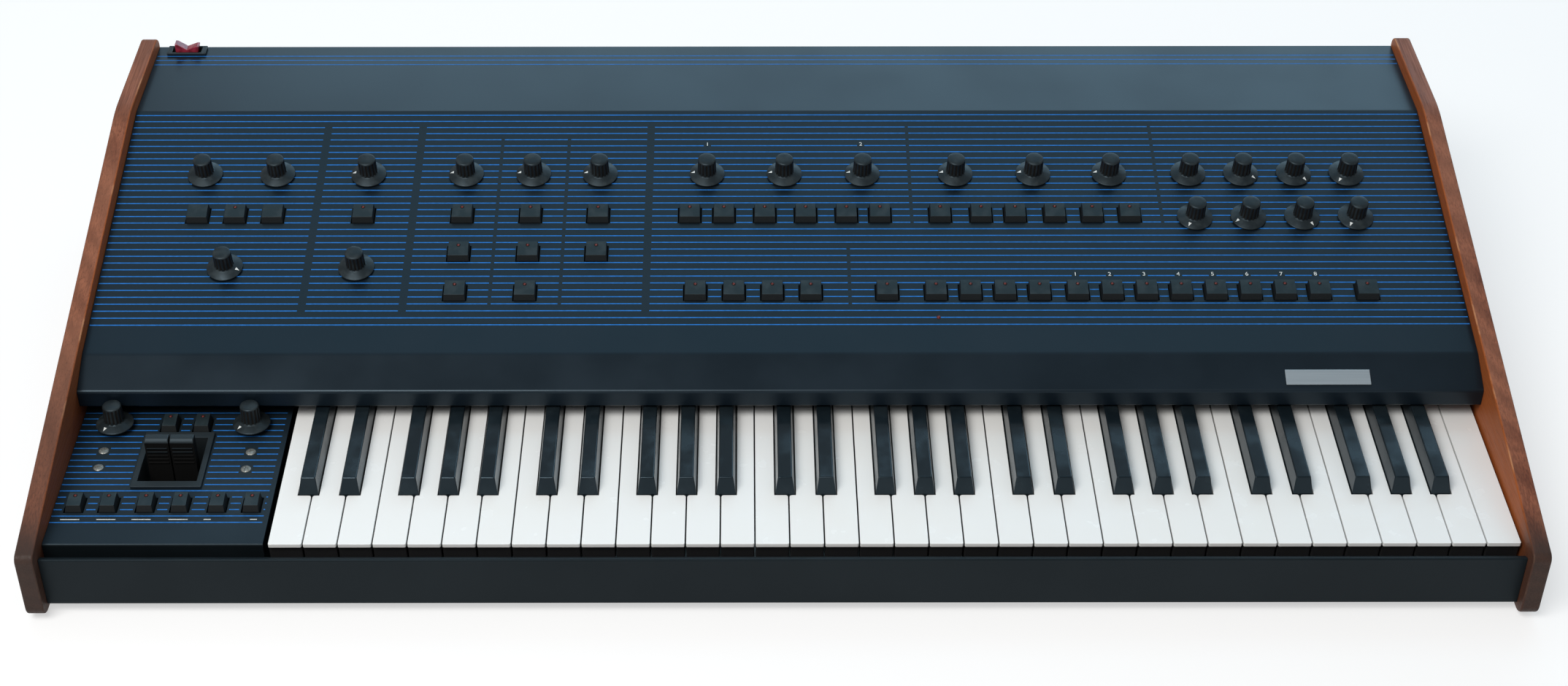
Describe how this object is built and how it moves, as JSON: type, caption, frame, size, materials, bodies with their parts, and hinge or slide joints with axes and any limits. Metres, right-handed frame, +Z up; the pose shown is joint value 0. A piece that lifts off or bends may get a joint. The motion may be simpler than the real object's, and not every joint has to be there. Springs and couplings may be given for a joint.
{
  "type": "analog synthesizer",
  "caption": "Tabletop analog synthesizer: wooden end cheeks, striped sloping panel with knobs and buttons, a full keyboard and two bend levers beside it.",
  "frame": {"origin": "on the table under the middle of the case, level with the bottom of the rubber feet", "axes": "+X to the player's right along the keyboard, +Y away from the player, +Z up"},
  "size_m": [1.02, 0.52, 0.153],
  "materials": {
    "walnut": "oiled walnut",
    "panel_paint": "satin dark blue-grey paint with thin blue stripes",
    "base_paint": "satin near-black paint",
    "plate_metal": "brushed",
    "steel": "bare",
    "key_white": "gloss",
    "key_black": "gloss",
    "knob_plastic": "matt",
    "black_plastic": "matt",
    "rocker_red": "translucent red, shown opaque",
    "circuit_board": "green solder mask",
    "rubber": "matt"
  },
  "bodies": {
    "case": {"bottom_pan": "base_paint", "top_panel": "panel_paint", "rear_panel": "base_paint", "front_rail": "base_paint", "left_cheek": "walnut", "right_cheek": "walnut", "lever_plate": "panel_paint", "lever_box": "black_plastic", "lever_axle": "steel", "name_plate": "plate_metal", "key_frame": "steel", "white_key_bank": "key_white", "black_key_bank": "key_black", "panel_board": "circuit_board", "lever_board": "circuit_board", "lower_voice_board": "circuit_board", "upper_voice_board": "circuit_board", "processor_board": "circuit_board", "power_supply_board": "circuit_board", "power_transformer": "steel", "power_switch_housing": "black_plastic", "mains_inlet": "black_plastic", "jack_strip": "black_plastic", "foot_front_left": "rubber", "foot_front_right": "rubber", "foot_rear_left": "rubber", "foot_rear_right": "rubber"},
    "white_key_c": {"white_key_c": "key_white"},
    "white_key_d": {"white_key_d": "key_white"},
    "white_key_e": {"white_key_e": "key_white"},
    "white_key_f": {"white_key_f": "key_white"},
    "white_key_g": {"white_key_g": "key_white"},
    "white_key_a": {"white_key_a": "key_white"},
    "white_key_b": {"white_key_b": "key_white"},
    "black_key_c_sharp": {"black_key_c_sharp": "key_black"},
    "black_key_d_sharp": {"black_key_d_sharp": "key_black"},
    "black_key_f_sharp": {"black_key_f_sharp": "key_black"},
    "black_key_g_sharp": {"black_key_g_sharp": "key_black"},
    "black_key_a_sharp": {"black_key_a_sharp": "key_black"},
    "modulation_lever": {"modulation_lever": "black_plastic"},
    "pitch_lever": {"pitch_lever": "black_plastic"},
    "volume_knob": {"volume_knob": "knob_plastic"},
    "master_tune_knob": {"master_tune_knob": "knob_plastic"},
    "filter_attack_knob": {"filter_attack_knob": "knob_plastic"},
    "loudness_attack_knob": {"loudness_attack_knob": "knob_plastic"},
    "filter_decay_knob": {"filter_decay_knob": "knob_plastic"},
    "loudness_decay_knob": {"loudness_decay_knob": "knob_plastic"},
    "filter_sustain_knob": {"filter_sustain_knob": "knob_plastic"},
    "loudness_sustain_knob": {"loudness_sustain_knob": "knob_plastic"},
    "filter_release_knob": {"filter_release_knob": "knob_plastic"},
    "loudness_release_knob": {"loudness_release_knob": "knob_plastic"},
    "program_button_1": {"program_button_1": "black_plastic"},
    "program_button_2": {"program_button_2": "black_plastic"},
    "program_button_3": {"program_button_3": "black_plastic"},
    "program_button_4": {"program_button_4": "black_plastic"},
    "program_button_5": {"program_button_5": "black_plastic"},
    "program_button_6": {"program_button_6": "black_plastic"},
    "program_button_7": {"program_button_7": "black_plastic"},
    "program_button_8": {"program_button_8": "black_plastic"},
    "power_rocker": {"power_rocker": "rocker_red"}
  },
  "joints": [
    {"name": "white_key_c_press", "type": "hinge", "parent": "case", "child": "white_key_c", "pos_m": [-0.346, -0.034, 0.037], "axis": [1, 0, 0], "range_deg": [0, 2.75], "stiffness_Nm_per_rad": 1, "springref_deg": -11.46},
    {"name": "white_key_d_press", "type": "hinge", "parent": "case", "child": "white_key_d", "pos_m": [-0.346, -0.034, 0.037], "axis": [1, 0, 0], "range_deg": [0, 2.75], "stiffness_Nm_per_rad": 1, "springref_deg": -11.46},
    {"name": "white_key_e_press", "type": "hinge", "parent": "case", "child": "white_key_e", "pos_m": [-0.346, -0.034, 0.037], "axis": [1, 0, 0], "range_deg": [0, 2.75], "stiffness_Nm_per_rad": 1, "springref_deg": -11.46},
    {"name": "white_key_f_press", "type": "hinge", "parent": "case", "child": "white_key_f", "pos_m": [-0.346, -0.034, 0.037], "axis": [1, 0, 0], "range_deg": [0, 2.75], "stiffness_Nm_per_rad": 1, "springref_deg": -11.46},
    {"name": "white_key_g_press", "type": "hinge", "parent": "case", "child": "white_key_g", "pos_m": [-0.346, -0.034, 0.037], "axis": [1, 0, 0], "range_deg": [0, 2.75], "stiffness_Nm_per_rad": 1, "springref_deg": -11.46},
    {"name": "white_key_a_press", "type": "hinge", "parent": "case", "child": "white_key_a", "pos_m": [-0.346, -0.034, 0.037], "axis": [1, 0, 0], "range_deg": [0, 2.75], "stiffness_Nm_per_rad": 1, "springref_deg": -11.46},
    {"name": "white_key_b_press", "type": "hinge", "parent": "case", "child": "white_key_b", "pos_m": [-0.346, -0.034, 0.037], "axis": [1, 0, 0], "range_deg": [0, 2.75], "stiffness_Nm_per_rad": 1, "springref_deg": -11.46},
    {"name": "black_key_c_sharp_press", "type": "hinge", "parent": "case", "child": "black_key_c_sharp", "pos_m": [-0.346, -0.034, 0.037], "axis": [1, 0, 0], "range_deg": [0, 2.75], "stiffness_Nm_per_rad": 1, "springref_deg": -11.46},
    {"name": "black_key_d_sharp_press", "type": "hinge", "parent": "case", "child": "black_key_d_sharp", "pos_m": [-0.346, -0.034, 0.037], "axis": [1, 0, 0], "range_deg": [0, 2.75], "stiffness_Nm_per_rad": 1, "springref_deg": -11.46},
    {"name": "black_key_f_sharp_press", "type": "hinge", "parent": "case", "child": "black_key_f_sharp", "pos_m": [-0.346, -0.034, 0.037], "axis": [1, 0, 0], "range_deg": [0, 2.75], "stiffness_Nm_per_rad": 1, "springref_deg": -11.46},
    {"name": "black_key_g_sharp_press", "type": "hinge", "parent": "case", "child": "black_key_g_sharp", "pos_m": [-0.346, -0.034, 0.037], "axis": [1, 0, 0], "range_deg": [0, 2.75], "stiffness_Nm_per_rad": 1, "springref_deg": -11.46},
    {"name": "black_key_a_sharp_press", "type": "hinge", "parent": "case", "child": "black_key_a_sharp", "pos_m": [-0.346, -0.034, 0.037], "axis": [1, 0, 0], "range_deg": [0, 2.75], "stiffness_Nm_per_rad": 1, "springref_deg": -11.46},
    {"name": "modulation_lever_tilt", "type": "hinge", "parent": "case", "child": "modulation_lever", "pos_m": [-0.43325, -0.151, 0.022], "axis": [1, 0, 0], "range_deg": [-20, 20], "stiffness_Nm_per_rad": 0.15},
    {"name": "pitch_lever_tilt", "type": "hinge", "parent": "case", "child": "pitch_lever", "pos_m": [-0.41575, -0.151, 0.022], "axis": [1, 0, 0], "range_deg": [-20, 20], "stiffness_Nm_per_rad": 0.15},
    {"name": "volume_knob_turn", "type": "hinge", "parent": "case", "child": "volume_knob", "pos_m": [-0.434, 0.09333, 0.12814], "axis": [0, -0.2161, 0.9764], "range_deg": [-150, 150]},
    {"name": "master_tune_knob_turn", "type": "hinge", "parent": "case", "child": "master_tune_knob", "pos_m": [-0.4065, 0.00106, 0.10772], "axis": [0, -0.2161, 0.9764], "range_deg": [-40, 260]},
    {"name": "filter_attack_knob_turn", "type": "hinge", "parent": "case", "child": "filter_attack_knob", "pos_m": [0.311, 0.09333, 0.12814], "axis": [0, -0.2161, 0.9764], "range_deg": [-150, 150]},
    {"name": "loudness_attack_knob_turn", "type": "hinge", "parent": "case", "child": "loudness_attack_knob", "pos_m": [0.311, 0.04939, 0.11841], "axis": [0, -0.2161, 0.9764], "range_deg": [-300, 0]},
    {"name": "filter_decay_knob_turn", "type": "hinge", "parent": "case", "child": "filter_decay_knob", "pos_m": [0.351, 0.09333, 0.12814], "axis": [0, -0.2161, 0.9764], "range_deg": [-27, 273]},
    {"name": "loudness_decay_knob_turn", "type": "hinge", "parent": "case", "child": "loudness_decay_knob", "pos_m": [0.351, 0.04939, 0.11841], "axis": [0, -0.2161, 0.9764], "range_deg": [-270, 30]},
    {"name": "filter_sustain_knob_turn", "type": "hinge", "parent": "case", "child": "filter_sustain_knob", "pos_m": [0.391, 0.09333, 0.12814], "axis": [0, -0.2161, 0.9764], "range_deg": [-14, 286]},
    {"name": "loudness_sustain_knob_turn", "type": "hinge", "parent": "case", "child": "loudness_sustain_knob", "pos_m": [0.391, 0.04939, 0.11841], "axis": [0, -0.2161, 0.9764], "range_deg": [-6, 294]},
    {"name": "filter_release_knob_turn", "type": "hinge", "parent": "case", "child": "filter_release_knob", "pos_m": [0.431, 0.09333, 0.12814], "axis": [0, -0.2161, 0.9764], "range_deg": [-293, 7]},
    {"name": "loudness_release_knob_turn", "type": "hinge", "parent": "case", "child": "loudness_release_knob", "pos_m": [0.431, 0.04939, 0.11841], "axis": [0, -0.2161, 0.9764], "range_deg": [-300, 0]},
    {"name": "program_button_1_press", "type": "slide", "parent": "case", "child": "program_button_1", "axis": [0, 0.2161, -0.9764], "range_m": [0, 0.0015], "stiffness_N_per_m": 300, "springref_m": -0.002},
    {"name": "program_button_2_press", "type": "slide", "parent": "case", "child": "program_button_2", "axis": [0, 0.2161, -0.9764], "range_m": [0, 0.0015], "stiffness_N_per_m": 300, "springref_m": -0.002},
    {"name": "program_button_3_press", "type": "slide", "parent": "case", "child": "program_button_3", "axis": [0, 0.2161, -0.9764], "range_m": [0, 0.0015], "stiffness_N_per_m": 300, "springref_m": -0.002},
    {"name": "program_button_4_press", "type": "slide", "parent": "case", "child": "program_button_4", "axis": [0, 0.2161, -0.9764], "range_m": [0, 0.0015], "stiffness_N_per_m": 300, "springref_m": -0.002},
    {"name": "program_button_5_press", "type": "slide", "parent": "case", "child": "program_button_5", "axis": [0, 0.2161, -0.9764], "range_m": [0, 0.0015], "stiffness_N_per_m": 300, "springref_m": -0.002},
    {"name": "program_button_6_press", "type": "slide", "parent": "case", "child": "program_button_6", "axis": [0, 0.2161, -0.9764], "range_m": [0, 0.0015], "stiffness_N_per_m": 300, "springref_m": -0.002},
    {"name": "program_button_7_press", "type": "slide", "parent": "case", "child": "program_button_7", "axis": [0, 0.2161, -0.9764], "range_m": [0, 0.0015], "stiffness_N_per_m": 300, "springref_m": -0.002},
    {"name": "program_button_8_press", "type": "slide", "parent": "case", "child": "program_button_8", "axis": [0, 0.2161, -0.9764], "range_m": [0, 0.0015], "stiffness_N_per_m": 300, "springref_m": -0.002},
    {"name": "power_rocker_tilt", "type": "hinge", "parent": "case", "child": "power_rocker", "pos_m": [-0.4735, 0.2505, 0.143], "axis": [0, 1, 0], "range_deg": [-12, 0]}
  ]
}
